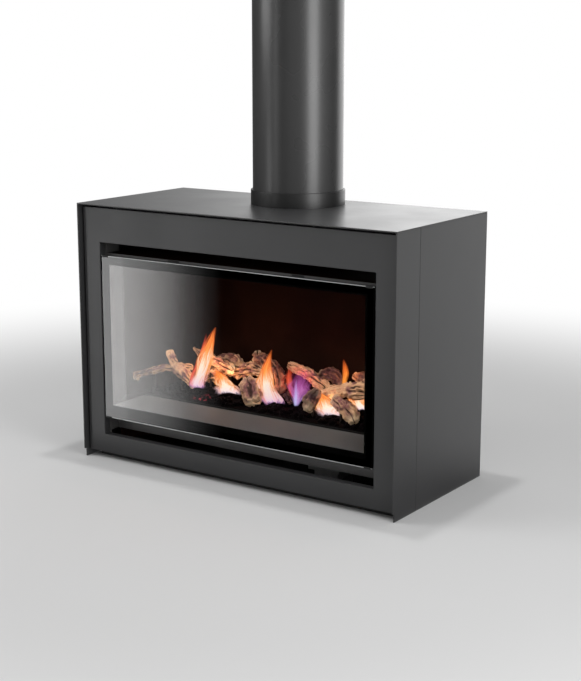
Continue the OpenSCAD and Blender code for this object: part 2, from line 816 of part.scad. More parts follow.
// Two runs joined at the ends, with the mixing tube down to the valve
module burner_tube() {
    bore = tube_r - 1.2;
    color(zinc) difference() {
        union() {
            for (y = tube_rows) rod([-tube_half, y, tube_z], 2 * tube_half, tube_r, "x");
            for (s = [-1, 1]) rod([s * (tube_half - tube_r), tube_rows[0], tube_z], tube_pitch, tube_r, "y");
            rod([venturi_x, tube_rows[0], venturi_low], tube_z - venturi_low, tube_r, "z");
        }
        rod([venturi_x, tube_rows[0], venturi_low - over], tube_z - venturi_low + over, bore, "z");
        rod([-tube_half + 2, tube_rows[0], tube_z], 2 * tube_half - 4, bore, "x");
    }
}

coal_pitch = 28;
coal_rows = floor((tray_d - 16) / coal_pitch);
coal_columns = floor((2 * tray_half - 20) / coal_pitch);

// Ceramic board with a crust of loose coals, relieved round the logs and their pins
module ember_bed() {
    gap = box_sheet + seat;
    color([0.09, 0.08, 0.08]) difference() {
        union() {
            block([-tray_half + gap, tray_y + gap, ember_z], [tray_half - gap, tray_back - gap, ember_top]);
            for (i = [0 : coal_columns - 1], j = [0 : coal_rows - 1])
                let (turn = 47 * i + 31 * j, size = 10 + 2 * sin(97 * i + 59 * j))
                translate([(i - (coal_columns - 1) / 2) * coal_pitch + 4 * sin(turn),
                    tube_mid + (j - (coal_rows - 1) / 2) * coal_pitch + 4 * cos(turn), ember_top - 1])
                    rotate([turn, 20, turn]) sphere(r = size, $fn = 6);
        }
        block([-tray_half, tray_y, 0], [tray_half, tray_back, ember_z]);
        for (i = [0 : len(LOGS) - 1]) {
            log(LOGS[i], 1.2);
            log_pin(i, seat);
        }
    }
}

module log_pins() {
    color(steel_grey) for (i = [0 : len(LOGS) - 1]) log_pin(i);
}

module log_twig() {
    color(wood_tan) pinned_log(0);
}

module log_bend() {
    color(wood_tan) pinned_log(1);
}

module log_fork() {
    color(wood_tan) pinned_log(2);
}

module log_centre() {
    color(wood_tan) pinned_log(3);
}

module log_stub() {
    color(wood_tan) pinned_log(4);
}

module log_upright() {
    color(wood_tan) pinned_log(5);
}

module log_charred() {
    color(wood_dark) pinned_log(6);
}

module log_rear() {
    color(wood_tan) pinned_log(7);
}

module log_top() {
    color(wood_tan) pinned_log(8);
}

module log_knot() {
    color(wood_tan) pinned_log(9);
}

module log_front() {
    color(wood_tan) pinned_log(10);
}

module log_cone() {
    color(wood_dark) pinned_log(11);
}

module log_end() {
    color(wood_tan) pinned_log(12);
}

// Pilot hood, spark electrode and flame sensor on one bracket behind the tray
module pilot_assembly() {
    y = tray_back + 1;
    color(zinc) {
        block([-24, y + 4, floor_z], [24, y + 18, floor_z + 1.5]);
        block([-24, y + 4, floor_z], [24, y + 5.5, rim_z + 8]);
        rod([0, y + 11, floor_z + 1], rim_z - floor_z + 10, 4, "z", 24);
        rod([-16, y + 11, floor_z + 1], rim_z - floor_z + 18, 2, "z", 24);
        rod([16, y + 11, floor_z + 1], rim_z - floor_z + 18, 2, "z", 24);
    }
}

valve_w = 80;
valve_d = 84;
valve_h = 46;
valve_foot = 18;
valve_low = pan_top + valve_foot;
valve_high = valve_low + valve_h;
foot_inset = 10;

// Gas control on its foot, with the injector that points up into the mixing tube
module gas_valve() {
    color(zinc) {
        block([venturi_x - valve_w / 2, valve_y - valve_d, valve_low],
            [venturi_x + valve_w / 2, valve_y, valve_high]);
        block([venturi_x - valve_w / 2 + foot_inset, valve_y - valve_d + foot_inset, pan_top],
            [venturi_x + valve_w / 2 - foot_inset, valve_y - foot_inset, valve_low + over]);
        rod([venturi_x, tube_rows[0], valve_high - over], venturi_low - valve_high + 5, 5, "z");
    }
}

module gas_pipe() {
    color(brass) rod([gas_x, valve_y, gas_z], tap_y - valve_y, gas_pipe_r, "y");
}

tap_r = 12;
stem_r = 4;
stem_top = gas_z + tap_r + 9;

module gas_tap() {
    color(brass) {
        rod([gas_x, tap_y, gas_z], tap_l, tap_r, "y");
        rod([gas_x, lever_y, gas_z], stem_top - gas_z, stem_r, "z");
        rod([gas_x, lever_y, gas_z], tap_r + 4, 7, "z");
    }
}

// Quarter-turn lever, in line with the pipe while the gas is on
module tap_lever() {
    low = gas_z + tap_r + 4 + seat;
    color([0.75, 0.62, 0.1]) difference() {
        union() {
            rod([gas_x, lever_y, low], 5, 8, "z");
            block([gas_x - 5, lever_y, low + 1], [gas_x + 5, lever_y + lever_l, low + 4]);
        }
        rod([gas_x, lever_y, low - over], 5 + 2 * over, stem_r + seat, "z");
    }
}

// Union with a hexagon and a male thread towards the rear
module gas_inlet() {
    inlet_end = panel_back + 2;
    hexagon_l = 10;
    neck_y = tap_y + tap_l;
    color(brass) difference() {
        union() {
            rod([gas_x, neck_y, gas_z], inlet_end - inlet_l - hexagon_l - neck_y, 8, "y");
            translate([gas_x, inlet_end - inlet_l, gas_z]) rotate([90, 0, 0])
                cylinder(r = 15, h = hexagon_l, $fn = 6);
            rod([gas_x, inlet_end - inlet_l - over, gas_z], inlet_l + over, inlet_r, "y");
        }
        rod([gas_x, inlet_end - inlet_l, gas_z], inlet_l + over, 6, "y");
    }
}

control_w = 70;
control_d = 100;
control_h = 46;
control_lid = 4;
control_front = 70;

// Ignition and fan control with its raised lid
module control_box() {
    right = back_half + 5;
    front = valve_y - control_front;
    rim = 8;
    color([0.3, 0.31, 0.33]) {
        block([right - control_w, front, pan_top], [right, front + control_d, pan_top + control_h]);
        block([right - control_w + rim, front + rim, pan_top + control_h - over],
            [right - rim, front + control_d - rim, pan_top + control_h + control_lid]);
    }
}

flange_t = 1.5;
socket_w = 26;
socket_h = 18;
socket_d = 16;
socket_x = power_x - 19;
pin_pitch = 7;

// Moulded block with the mains socket and the frame of the rocker switch
module power_inlet() {
    edge = 1;
    half = power_cut_w / 2;
    tall = power_cut_h / 2;
    color([0.08, 0.08, 0.08]) difference() {
        union() {
            block([power_x - half + 0.5, panel_back - 22, power_z - tall + 0.5],
                [power_x + half - 0.5, panel_back + edge, power_z + tall - 0.5]);
            block([power_x - half - 3, panel_back, power_z - tall - 3],
                [power_x + half + 3, panel_back + flange_t, power_z + tall + 3]);
        }
        block([socket_x - socket_w / 2, panel_back - socket_d, power_z - socket_h / 2],
            [socket_x + socket_w / 2, panel_back + 2 * over, power_z + socket_h / 2]);
        block([rocker_x - 6.5, panel_back - 14, power_z - 10.6],
            [rocker_x + 6.5, panel_back + 2 * over, power_z + 10.6]);
    }
    color(zinc) for (x = [socket_x - pin_pitch, socket_x, socket_x + pin_pitch])
        block([x - 1, panel_back - socket_d - over, power_z - 3],
            [x + 1, panel_back - socket_d / 2 + over, power_z + 3]);
}

module rocker_switch() {
    color([0.12, 0.12, 0.12]) translate([rocker_x, rocker_y, power_z]) rotate([-rocker_tilt, 0, 0]) {
        translate([-6, 0, 0]) rotate([90, 0, 90]) linear_extrude(12)
            polygon([[-3, -9], [-3, 9], [4, 9], [3.2, 0], [4, -9]]);
        rod([-6.3, 0, 0], 12.6, 1.5, "x", 24);
    }
}

housing_half = rotor_l / 2 + 8;
housing_y = [fan_y - rotor_r - 8, fan_y + rotor_r + 8];
housing_high = fan_z + rotor_r + 10;
housing_t = 1.5;
mouth_y = [back_wall_y + 3, shield_y - 3];

// Fan housing: open in front to draw air in and on top to blow it up behind the firebox
module fan_housing() {
    color(zinc) difference() {
        block([-housing_half, housing_y[0], pan_top], [housing_half, housing_y[1], housing_high]);
        block([-housing_half + housing_t, housing_y[0] + housing_t, pan_top + housing_t],
            [housing_half - housing_t, housing_y[1] - housing_t, housing_high - housing_t]);
        block([-housing_half + 10, housing_y[0] - over, pan_top + 16],
            [housing_half - 10, housing_y[0] + 2 * over, housing_high - 10]);
        block([-housing_half + 10, mouth_y[0], housing_high - 2 * over],
            [housing_half - 10, mouth_y[1], housing_high + over]);
        rod([-housing_half - over, fan_y, fan_z], 2 * housing_half + 2 * over, shaft_r + run_gap, "x");
    }
    color(steel_dark) difference() {
        rod([-housing_half - 50, fan_y, fan_z], 50, 26, "x");
        rod([-housing_half - 44, fan_y, fan_z], 44 + over, shaft_r + run_gap, "x");
    }
}

// Crossflow rotor: end discs, a ring of blades and the shaft that runs into the motor
module fan_rotor() {
    disc_t = 2;
    blade_t = 1;
    blade_w = 8;
    color([0.55, 0.56, 0.58]) {
        for (x = [-rotor_l / 2, -disc_t / 2, rotor_l / 2 - disc_t])
            rod([x, fan_y, fan_z], disc_t, rotor_r, "x");
        rod([-housing_half - 40, fan_y, fan_z], 2 * housing_half + 40, shaft_r, "x");
        for (i = [0 : blades - 1])
            translate([-rotor_l / 2, fan_y, fan_z]) rotate([360 * i / blades, 0, 0])
                translate([0, rotor_r - blade_w - 0.5, -blade_t / 2]) cube([rotor_l, blade_w, blade_t]);
    }
}

top_panel();
side_front_left();
side_front_right();
side_panel_left();
side_panel_right();
back_panel();
base_plinth();
base_pan();
panel_screws();
fascia();
fascia_hooks();
front_plate();
window_seats();
window_springs();
window_glass();
window_frame();
window_gasket();
glass_clips();
window_pins();
firebox_back();
firebox_side_left();
firebox_side_right();
firebox_ceiling();
firebox_floor();
ledge_front();
ledge_left();
ledge_right();
heat_shield();
flue_box();
inner_flue();
flue_casing();
flue_collar();
burner_tray();
burner_tube();
ember_bed();
log_pins();
log_twig();
log_bend();
log_fork();
log_centre();
log_stub();
log_upright();
log_charred();
log_rear();
log_top();
log_knot();
log_front();
log_cone();
log_end();
pilot_assembly();
gas_valve();
gas_pipe();
gas_tap();
tap_lever();
gas_inlet();
control_box();
power_inlet();
rocker_switch();
fan_housing();
fan_rotor();
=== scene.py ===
import json
import math
import random

import bmesh
import bpy
from mathutils import Matrix, Vector, noise

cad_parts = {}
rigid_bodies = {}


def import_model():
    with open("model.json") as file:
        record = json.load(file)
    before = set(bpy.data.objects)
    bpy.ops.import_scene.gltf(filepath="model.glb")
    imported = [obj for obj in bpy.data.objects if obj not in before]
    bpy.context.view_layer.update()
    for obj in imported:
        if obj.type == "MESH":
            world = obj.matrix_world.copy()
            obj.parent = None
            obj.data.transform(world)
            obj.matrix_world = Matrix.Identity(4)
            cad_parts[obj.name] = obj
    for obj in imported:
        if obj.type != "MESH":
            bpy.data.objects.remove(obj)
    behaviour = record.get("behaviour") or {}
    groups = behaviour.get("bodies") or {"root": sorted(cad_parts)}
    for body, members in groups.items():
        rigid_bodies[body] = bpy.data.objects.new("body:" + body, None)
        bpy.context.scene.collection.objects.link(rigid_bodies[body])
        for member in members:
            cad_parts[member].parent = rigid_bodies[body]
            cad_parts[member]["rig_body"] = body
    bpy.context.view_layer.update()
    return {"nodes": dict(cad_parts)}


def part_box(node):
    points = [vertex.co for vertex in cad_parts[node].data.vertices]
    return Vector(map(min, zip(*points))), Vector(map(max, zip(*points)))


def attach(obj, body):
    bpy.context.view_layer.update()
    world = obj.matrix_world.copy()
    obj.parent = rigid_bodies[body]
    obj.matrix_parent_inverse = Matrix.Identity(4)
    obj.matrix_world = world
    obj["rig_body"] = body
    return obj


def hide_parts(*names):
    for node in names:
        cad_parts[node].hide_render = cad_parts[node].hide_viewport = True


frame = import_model()

# The studio. The camera stands where the photograph's stood, over a plain pale floor that turns
# white further out. What gloss sees is white behind the heater and dark in front of it, with a tall
# bright screen to the front left. Three lamps light the heater, and a weak even light fills in.
CAMERA_PLACE = (1.8088, -2.5916, 0.9834)
CAMERA_TILT, CAMERA_TURN = math.radians(77.691), math.radians(34.381)
scene = bpy.context.scene
scene.view_settings.view_transform = "Standard"
camera_data = bpy.data.cameras.new("camera")
camera_data.lens = 76.07
camera_data.sensor_width = 36
camera = bpy.data.objects.new("camera", camera_data)
camera.location = CAMERA_PLACE
camera.rotation_euler = (CAMERA_TILT, 0, CAMERA_TURN)
scene.collection.objects.link(camera)
scene.camera = camera


def put(tree, kind, inputs=None, **settings):
    """Adds one node with its settings, and sets or links its inputs."""
    node = tree.nodes.new("ShaderNode" + kind)
    for key, value in settings.items():
        setattr(node, key, value)
    for key, value in (inputs or {}).items():
        if isinstance(value, bpy.types.NodeSocket):
            tree.links.new(value, node.inputs[key])
        else:
            node.inputs[key].default_value = value
    return node


def reckon(tree, operation, *values):
    """The result of one Math node."""
    return put(tree, "Math", dict(enumerate(values)), operation=operation).outputs[0]


def spread(tree, value, low, high, to_low=0.0, to_high=1.0):
    """value, moved smoothly from low..high to to_low..to_high."""
    return put(tree, "MapRange", {"Value": value, "From Min": low, "From Max": high,
                                  "To Min": to_low, "To Max": to_high},
               interpolation_type="SMOOTHSTEP").outputs["Result"]


def grade(tree, value, stops):
    """A colour ramp through (position, grey or colour) stops."""
    node = put(tree, "ValToRGB", {"Fac": value})
    elements = node.color_ramp.elements
    elements.remove(elements[1])
    for number, (position, colour) in enumerate(stops):
        element = elements[0] if number == 0 else elements.new(position)
        element.position = position
        element.color = (colour, colour, colour, 1) if isinstance(colour, float) else (*colour, 1)
    return node.outputs["Color"]


def mirrored(tree):
    """1 for the rays that gloss or glass sends on, and 0 for all others."""
    rays = put(tree, "LightPath").outputs
    return reckon(tree, "MAXIMUM", rays["Is Glossy Ray"], rays["Is Transmission Ray"])


def new_finish(name, bare=False):
    """A new material and its node tree, which starts empty if bare."""
    material = bpy.data.materials.new(name)
    material.use_nodes = True
    if bare:
        material.node_tree.nodes.clear()
    return material, material.node_tree


world = bpy.data.worlds.new("studio")
scene.world = world
world.use_nodes = True
air = world.node_tree
air.nodes.clear()
way = put(air, "SeparateXYZ", {"Vector": put(air, "TexCoord").outputs["Generated"]}).outputs
# Radians from the front towards the right
turn = reckon(air, "ARCTAN2", way["X"], reckon(air, "MULTIPLY", way["Y"], -1))


def round_about(low, high, levels, strength):
    """The level at each bearing, from (degrees, share) pairs between low and high."""
    span = high - low
    place = reckon(air, "MULTIPLY_ADD", turn, math.degrees(1) / span, -low / span)
    shares = grade(air, place, [((degrees - low) / span, share) for degrees, share in levels])
    return reckon(air, "MULTIPLY", shares, strength)


around = round_about(-180, 180, [
    (-180, 0.66), (-160, 0.72), (-154, 0.9), (-150, 0.9), (-146, 0.55), (-141, 0.15), (-132, 0.03),
    (-97, 0.03), (-60, 0.13), (-46, 0.0), (-30, 0.0), (-28, 0.5), (-22, 0.7), (-17, 0.05), (-10, 0.0),
    (20, 0.17), (40, 0.17), (56, 0.46), (86, 0.63), (104, 0.25), (133, 0.02), (143, 0.04), (150, 0.11),
    (153.5, 0.17), (158, 0.68), (180, 0.66)], 2.8)
around = reckon(air, "MULTIPLY", around, spread(air, way["Z"], -0.5, -0.1, 0.35, 1.0))
screen = round_about(-60, -36, [
    (-60, 0.0), (-48, 0.15), (-44.5, 1.0), (-41.15, 0.9), (-41.05, 0.73), (-40.2, 0.55), (-39.4, 0.36),
    (-38.6, 0.14), (-37.8, 0.03), (-37.2, 0.0)], 4.9)
screen = reckon(air, "MULTIPLY", screen, spread(air, way["Z"], 0.1, -0.05))
screen = reckon(air, "MULTIPLY", screen, spread(air, way["Z"], -0.32, -0.25))
gloss = reckon(air, "ADD", around, screen)
gloss = reckon(air, "ADD", gloss, spread(air, way["Z"], 0.55, 0.85, 0.0, 1.6))
FILL = 0.45
level = reckon(air, "MULTIPLY_ADD", mirrored(air), reckon(air, "SUBTRACT", gloss, FILL), FILL)
level = put(air, "Mix", {0: put(air, "LightPath").outputs["Is Camera Ray"], 2: level, 3: 1.0}).outputs[0]
sky = put(air, "Background", {"Color": (1, 1, 1, 1), "Strength": level}).outputs[0]
put(air, "OutputWorld", {"Surface": sky})


def softbox(name, place, aim, width, height, watts, colour=(1, 1, 1)):
    """A rectangular lamp that points from place to aim."""
    data = bpy.data.lights.new(name, "AREA")
    data.shape = "RECTANGLE"
    data.size = width
    data.size_y = height
    data.energy = watts
    data.color = colour
    lamp = bpy.data.objects.new(name, data)
    lamp.location = place
    lamp.rotation_euler = (Vector(aim) - Vector(place)).to_track_quat("-Z", "Y").to_euler()
    scene.collection.objects.link(lamp)
    return lamp


softbox("key", (-2.3, -1.7, 2.1), (0, 0, 0.5), 1.6, 1.6, 30)
softbox("side", (3.0, -0.9, 1.3), (0, 0.1, 0.7), 1.4, 2.0, 48)
softbox("overhead", (0, 0.05, 3.2), (0, 0.05, 0), 0.14, 0.14, 17)

FLOOR_REACH = 30
work = bmesh.new()
bmesh.ops.create_grid(work, x_segments=1, y_segments=1, size=FLOOR_REACH)
mesh = bpy.data.meshes.new("floor")
work.to_mesh(mesh)
work.free()
floor = bpy.data.objects.new("floor", mesh)
scene.collection.objects.link(floor)
material, tree = new_finish("pale_floor", bare=True)
spot = put(tree, "TexCoord").outputs["Object"]
reach = put(tree, "VectorMath", {0: spot}, operation="LENGTH").outputs["Value"]
seen = put(tree, "LightPath").outputs["Is Camera Ray"]
far = reckon(tree, "MULTIPLY", spread(tree, reach, 0.9, 2.2), seen)
matt = put(tree, "BsdfDiffuse", {"Color": (0.7, 0.7, 0.7, 1)}).outputs[0]
white = put(tree, "Emission", {"Color": (1, 1, 1, 1), "Strength": 1.0}).outputs[0]
plain = put(tree, "MixShader", {0: far, 1: matt, 2: white}).outputs[0]
# Gloss sees no floor, apart from dark patches beside and before the heater that dim the foot of its
# side and of its fascia
axes = put(tree, "SeparateXYZ", {"Vector": spot}).outputs
beside = reckon(tree, "MULTIPLY", spread(tree, axes["X"], 0.8, 0.5), spread(tree, axes["Y"], 0.5, 0.05))
beside = reckon(tree, "MULTIPLY", beside, reckon(tree, "GREATER_THAN", axes["X"], 0.42))
before = reckon(tree, "LESS_THAN", axes["Y"], -0.19)
before = reckon(tree, "MULTIPLY", spread(tree, axes["Y"], -0.42, -0.26), before)
patch = reckon(tree, "MAXIMUM", beside, before)
dim = put(tree, "BsdfDiffuse", {"Color": (0.25, 0.25, 0.25, 1)}).outputs[0]
gone = put(tree, "BsdfTransparent").outputs[0]
gloss = put(tree, "MixShader", {0: patch, 1: gone, 2: dim}).outputs[0]
both = put(tree, "MixShader", {0: mirrored(tree), 1: plain, 2: gloss}).outputs[0]
put(tree, "OutputMaterial", {"Surface": both})
mesh.materials.append(material)


# The base. A recessed frame of bent steel sheet on the hearth, and the steel pan that it carries,
# both in matt black powder coat with a fine grain, made darker than that coat as painted shade, so
# that the recess under the fascia shows as a black shadow gap.
def mottle(tree, spot, scale, detail=2.0, roughness=0.5):
    """Soft patches between 0 and 1, about scale of them to the metre."""
    return put(tree, "TexNoise", {"Vector": spot, "Scale": scale, "Detail": detail,
                                  "Roughness": roughness}).outputs["Fac"]


def mixed(tree, share, first, second):
    """The first colour, with a share of the second over it."""
    return put(tree, "Mix", {"Factor": share, 6: first, 7: second}, data_type="RGBA").outputs[2]


def coat(name, colour, roughness, grain=900, peel=0.08, drift=0.12, metallic=0.0, specks=0.0, specular=0.5):
    """A paint or plating on sheet: fine bump, slow drift of tone and gloss, and specks of dust or soot."""
    material, tree = new_finish(name)
    shader = tree.nodes["Principled BSDF"]
    spot = put(tree, "TexCoord").outputs["Object"]
    slow = mottle(tree, spot, 7.0, 3.0)
    dark = [part * (1 - drift) for part in colour]
    light = [part * (1 + drift) for part in colour]
    tone = grade(tree, slow, [(0.3, dark), (0.7, light)])
    if specks:
        cover = spread(tree, mottle(tree, spot, 160.0, 4.0), 0.52, 0.7, 0.0, specks)
        tone = mixed(tree, cover, tone, (0.11, 0.105, 0.1, 1))
    gloss = spread(tree, slow, 0.25, 0.75, roughness * 0.9, roughness * 1.1)
    fine = mottle(tree, spot, grain)
    bump = put(tree, "Bump", {"Strength": peel, "Distance": 0.0004, "Height": fine})
    tree.links.new(tone, shader.inputs["Base Color"])
    tree.links.new(gloss, shader.inputs["Roughness"])
    tree.links.new(bump.outputs[0], shader.inputs["Normal"])
    shader.inputs["Metallic"].default_value = metallic
    shader.inputs["Specular IOR Level"].default_value = specular
    return material


def dress(material, *names):
    """Gives CAD nodes their finish."""
    for name in names:
        for slot in frame["nodes"][name].material_slots:
            slot.material = material


# Black coat, darkened further as painted shade for the gap under the fascia
dress(coat("base_black_and_painted_shade", (0.007, 0.007, 0.007), 0.6, grain=1400, peel=0.25, specular=0.2),
      "base_plinth", "base_pan")

# Gas and electrics under the firebox. A die-cast valve, brass pipework with an isolation tap and
# its yellow lever, a moulded control box, and the mains inlet with its rocker switch.
dress(coat("die_cast", (0.42, 0.42, 0.42), 0.45, grain=500, peel=0.3, metallic=0.9), "gas_valve")
dress(coat("brass", (0.62, 0.42, 0.16), 0.28, grain=600, peel=0.08, drift=0.1, metallic=1.0),
      "gas_pipe", "gas_tap", "gas_inlet")
dress(coat("dipped_yellow", (0.62, 0.42, 0.03), 0.45, grain=900, peel=0.15), "tap_lever")
dress(coat("moulded_black", (0.006, 0.006, 0.0065), 0.6, grain=1800, peel=0.3, specular=0.1),
      "control_box", "power_inlet")
dress(coat("polished_black", (0.018, 0.018, 0.018), 0.22, grain=900, peel=0.03), "rocker_switch")

# The fan. A crossflow rotor of thin aluminium blades on a steel shaft, turned by the motor at the
# left end of its zinc-plated housing.
zinc = coat("zinc_plate", (0.52, 0.53, 0.55), 0.34, grain=260, peel=0.08, drift=0.14, metallic=1.0)
dress(zinc, "fan_housing")
dress(coat("bare_aluminium", (0.6, 0.61, 0.62), 0.32, grain=300, peel=0.06, metallic=1.0), "fan_rotor")

# The firebox. Thin steel sheets welded into a tapered box, and the flue box on it, all in black
# stove paint that soot has made uneven. A zinc-plated shield under it keeps its heat off the gas
# and electric parts, and a grey burner tray stands in its floor.
sooty = coat("stove_black", (0.022, 0.0085, 0.0055), 0.7, grain=500, peel=0.1, drift=0.35, specks=0.03,
             specular=0.06)
dress(sooty, "firebox_back", "firebox_side_left", "firebox_side_right", "firebox_ceiling", "firebox_floor",
      "flue_box")
dress(zinc, "heat_shield")
dress(coat("tray_grey", (0.012, 0.0125, 0.012), 0.6, grain=500, peel=0.15, specular=0.2), "burner_tray")


# The ledge round the burner. Three bent steel sheets that slope up from the glass to the burner
# tray, in warm grey stove paint, with eased edges.
def finish_piece(name, work, materials, body, replaced=(), smooth=True, crease=0.6):
    """Makes the piece, says what it rides on, and hides the nodes it stands for."""
    mesh = bpy.data.meshes.new(name)
    for face in work.faces:
        face.smooth = smooth
    work.to_mesh(mesh)
    work.free()
    if smooth:
        mesh.set_sharp_from_angle(angle=crease)
    for material in materials:
        mesh.materials.append(material)
    piece = bpy.data.objects.new(name, mesh)
    scene.collection.objects.link(piece)
    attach(piece, body)
    if replaced:
        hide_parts(*replaced)


def pressed(name, node, material, edge=0.0008):
    """The node's sheet with its cut edges eased, as tumbling and paint leave them."""
    work = bmesh.new()
    work.from_mesh(frame["nodes"][node].data)
    bmesh.ops.remove_doubles(work, verts=work.verts, dist=1e-5)
    bmesh.ops.dissolve_limit(work, angle_limit=0.02, verts=work.verts, edges=work.edges)
    sharp = [e for e in work.edges if len(e.link_faces) == 2 and e.calc_face_angle(0) > 0.5]
    bmesh.ops.bevel(work, geom=sharp, offset=edge, segments=2, profile=0.5, affect="EDGES",
                    material=-1, clamp_overlap=True)
    body = frame["nodes"][node]["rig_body"]
    finish_piece(name, work, [material], body, [node], smooth=False)


ledge_grey = coat("ledge_grey", (0.146, 0.149, 0.151), 0.5, grain=700, peel=0.12, drift=0.1)
for side in ("front", "left", "right"):
    pressed(f"sloping_ledge_{side}", f"ledge_{side}", ledge_grey, edge=0.0005)

# The front plate. One laser-cut steel plate behind the fascia, which carries the window and shows
# as bars over and under the glass, in dark grey stove paint.
plate_grey = coat("plate_grey", (0.08, 0.078, 0.077), 0.42, grain=900, peel=0.1)
pressed("front_plate_cut", "front_plate", plate_grey, edge=0.0006)

# The casing. Powder-coated charcoal steel: the top panel with the flue's hole, a front strip and a
# rear panel on each side with an open seam between them, and the louvred back panel.
charcoal = coat("charcoal_coat", (0.034, 0.034, 0.035), 0.34, grain=1100, peel=0.12, drift=0.05)
for node in ("top_panel", "side_front_left", "side_front_right", "side_panel_left", "side_panel_right",
             "back_panel"):
    pressed(f"{node}_coated", node, charcoal)


# The back panel's screws. Eleven zinc-plated steel screws with a cross recess in their pan heads:
# four up each side and three along the foot. The first is turned and the others are copies of it.
def lathe(work, points, closed, steps):
    """Spins (x, y, z) points about the upright axis through the origin, and turns the skin outwards."""
    line = [work.verts.new(point) for point in points]
    ends = line[1:] + line[:1] if closed else line[1:]
    edges = [work.edges.new(pair) for pair in zip(line, ends)]
    bmesh.ops.spin(work, geom=line + edges, cent=(0, 0, 0), axis=(0, 0, 1), angle=2 * math.pi,
                   steps=steps, use_merge=True)
    bmesh.ops.remove_doubles(work, verts=work.verts, dist=1e-6)
    bmesh.ops.recalc_face_normals(work, faces=work.faces)


SCREW_STEPS = 16
# Half a step round, so that the cross lies along the axes
SCREW_START = math.pi / SCREW_STEPS
SCREW_SIDE, SCREW_FOOT, SCREW_PITCH = 0.4065, 0.06, 0.17
PAN_HEAD = [(0, 2), (0.6, 2), (2, 1.85), (3.2, 1.35), (3.9, 0.5), (4, 0), (2, 0), (2, -7.5), (0, -8)]
RECESS_DEPTH = 0.0009
back_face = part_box("back_panel")[1][1]
places = [(side * SCREW_SIDE, SCREW_FOOT + SCREW_PITCH * row) for side in (-1, 1) for row in range(4)]
places += [(x, 0.03) for x in (-0.16, 0, 0.12)]
work = bmesh.new()
start = (math.cos(SCREW_START) / 1000, -math.sin(SCREW_START) / 1000)
lathe(work, [(r * start[0], r * start[1], h / 1000) for r, h in PAN_HEAD], False, SCREW_STEPS)
recess = []
for face in work.faces:
    middle = face.calc_center_median()
    off_axis = min(abs(middle.x), abs(middle.y))
    if middle.z > 0.0018 and (off_axis < 1e-5 or middle.xy.length < 0.0005):
        recess.append(face)
bmesh.ops.inset_region(work, faces=recess, thickness=0.00005, depth=-RECESS_DEPTH)
bmesh.ops.rotate(work, verts=work.verts, matrix=Matrix.Rotation(-math.pi / 2, 3, "X"))
bmesh.ops.translate(work, verts=work.verts, vec=(places[0][0], back_face, places[0][1]))
screw = [*work.verts, *work.edges, *work.faces]
for x, z in places[1:]:
    copied = bmesh.ops.duplicate(work, geom=screw)["geom"]
    bmesh.ops.translate(work, verts=[part for part in copied if isinstance(part, bmesh.types.BMVert)],
                        vec=(x - places[0][0], 0, z - places[0][1]))
finish_piece("cross_head_screws", work, [zinc], "casing", ["panel_screws"])


# The flue. A rolled steel pipe in dark stove paint with a reduced upper end for the next length,
# a close collar that covers the gap round it in the top panel, and a bare stainless pipe inside.
def turned(name, profile, centre, material, replaced):
    """A closed profile of (radius, height) points in millimetres, spun round an upright axis."""
    work = bmesh.new()
    lathe(work, [(r / 1000, 0, z / 1000) for r, z in profile], True, FLUE_STEPS)
    bmesh.ops.translate(work, verts=work.verts, vec=(*centre, 0))
    finish_piece(name, work, [material], "casing", replaced)


FLUE_STEPS = 160
ring_low, ring_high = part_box("flue_collar")
flue_axis = ((ring_low[0] + ring_high[0]) / 2, (ring_low[1] + ring_high[1]) / 2)
foot, top, rim = ring_low[2] * 1000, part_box("flue_casing")[1][2] * 1000, ring_high[2] * 1000
flue_grey = coat("flue_grey", (0.04, 0.04, 0.04), 0.29, grain=800, peel=0.1, drift=0.05)
ring_black = coat("ring_black", (0.012, 0.012, 0.012), 0.36, grain=800, peel=0.1, drift=0.05, specular=0.4)
turned("flue_pipe", [(101.5, foot), (101.5, top - 42), (100.8, top - 40), (100, top - 38),
                     (100, top - 0.5), (99.6, top), (99.2, top), (98.8, top - 0.5), (98.8, top - 38),
                     (99.6, top - 40), (100.3, top - 42), (100.3, foot)],
       flue_axis, flue_grey, ["flue_casing"])
turned("flue_cover_ring", [(101.8, foot), (106, foot), (106, rim - 1.5), (105.6, rim - 0.4),
                           (104.8, rim), (101.8, rim)],
       flue_axis, ring_black, ["flue_collar"])
dress(coat("bare_stainless", (0.5, 0.5, 0.5), 0.3, grain=300, peel=0.05, drift=0.08, metallic=1.0),
      "inner_flue")

# The hidden fittings. The tongues that carry the fascia and the window's seats, springs, pins and
# clips are small blackened steel pieces. The pilot, the burner's tube and the pins under the logs
# are scorched by the fire.
dress(coat("blackened_steel", (0.014, 0.014, 0.014), 0.45, grain=700, peel=0.1, specular=0.3),
      "fascia_hooks", "window_seats", "window_springs", "window_pins", "glass_clips")
dress(coat("scorched_zinc", (0.05, 0.04, 0.036), 0.5, grain=400, peel=0.2, drift=0.4, metallic=0.6),
      "pilot_assembly", "burner_tube", "log_pins")


# The ember bed. A ceramic fibre board that lets the gas through, strewn with black ceramic coals.
# A few of them glow where the flames lick them.
def slab(work, low, high):
    """A box between two corners."""
    bmesh.ops.create_cube(work, size=1)
    for vert in work.verts:
        vert.co = [high[axis] if vert.co[axis] > 0 else low[axis] for axis in range(3)]


